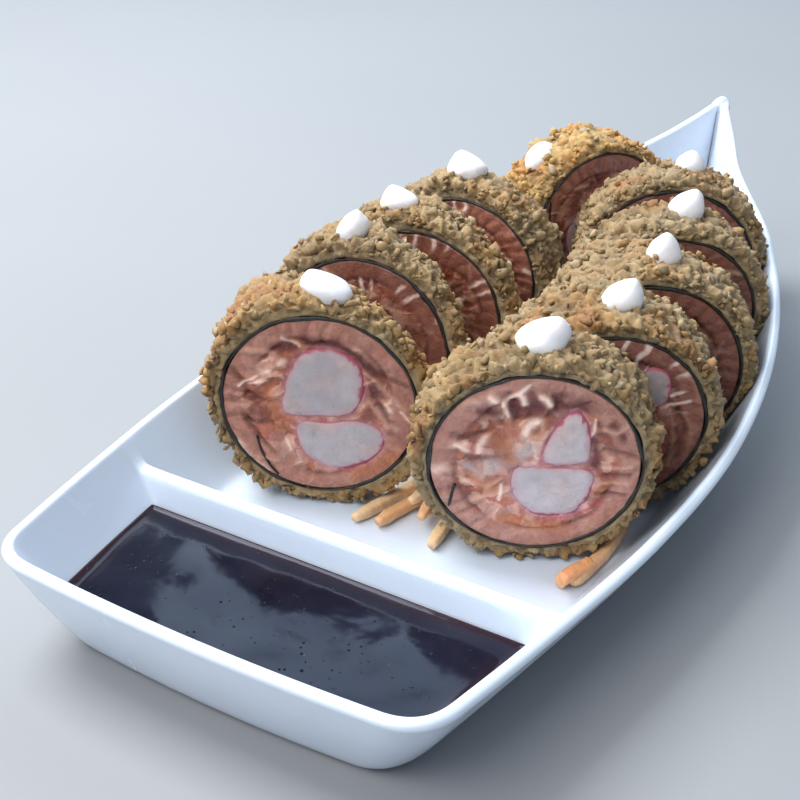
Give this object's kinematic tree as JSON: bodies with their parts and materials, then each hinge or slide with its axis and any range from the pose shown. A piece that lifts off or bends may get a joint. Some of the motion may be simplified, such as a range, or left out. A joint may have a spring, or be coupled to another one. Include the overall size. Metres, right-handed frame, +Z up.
{
  "type": "fried sushi roll on its plate",
  "caption": "Breaded, fried sushi roll cut into slices in two rows on a white leaf-shaped plate with a well of dark sauce and carrot shreds.",
  "frame": {"origin": "middle of the footprint, on the surface that the plate stands on", "axes": "+Z up, +Y along the plate from the sauce well to the pointed tip, +X to the right"},
  "size_m": [0.1206, 0.2594, 0.0601],
  "materials": {
    "plate": "glossy cool white",
    "sauce": "wet, near black",
    "crust": "rough golden brown crumbs",
    "seaweed": "satin, near black",
    "filling": "moist dusty pink flakes",
    "crab_stick": "moist white with a red edge",
    "topping": "smooth, soft sheen",
    "carrot": "moist orange"
  },
  "bodies": {
    "root": {"carrots_middle": "carrot", "carrots_right": "carrot", "crust_L1": "crust", "crust_L2": "crust", "crust_L3": "crust", "crust_L4": "crust", "crust_L5": "crust", "crust_R1": "crust", "crust_R2": "crust", "crust_R3": "crust", "crust_R4": "crust", "crust_R5": "crust", "dot_L1": "topping", "dot_L2": "topping", "dot_L3": "topping", "dot_L4": "topping", "dot_L5": "topping", "dot_R1": "topping", "dot_R2": "topping", "dot_R3": "topping", "dot_R4": "topping", "dot_R5": "topping", "filling_L1": "filling", "filling_L2": "filling", "filling_L3": "filling", "filling_L4": "filling", "filling_L5": "filling", "filling_R1": "filling", "filling_R2": "filling", "filling_R3": "filling", "filling_R4": "filling", "filling_R5": "filling", "kani_L1_lower": "crab_stick", "kani_L1_upper": "crab_stick", "kani_L2_pair": "crab_stick", "kani_L3_pair": "crab_stick", "kani_L4_pair": "crab_stick", "kani_L5_pair": "crab_stick", "kani_R1_lower": "crab_stick", "kani_R1_upper": "crab_stick", "kani_R2_lower": "crab_stick", "kani_R2_upper": "crab_stick", "kani_R3_pair": "crab_stick", "kani_R4_pair": "crab_stick", "kani_R5_pair": "crab_stick", "nori_L1": "seaweed", "nori_L2": "seaweed", "nori_L3": "seaweed", "nori_L4": "seaweed", "nori_L5": "seaweed", "nori_R1": "seaweed", "nori_R2": "seaweed", "nori_R3": "seaweed", "nori_R4": "seaweed", "nori_R5": "seaweed", "plate": "plate", "sauce": "sauce"}
  },
  "joints": []
}
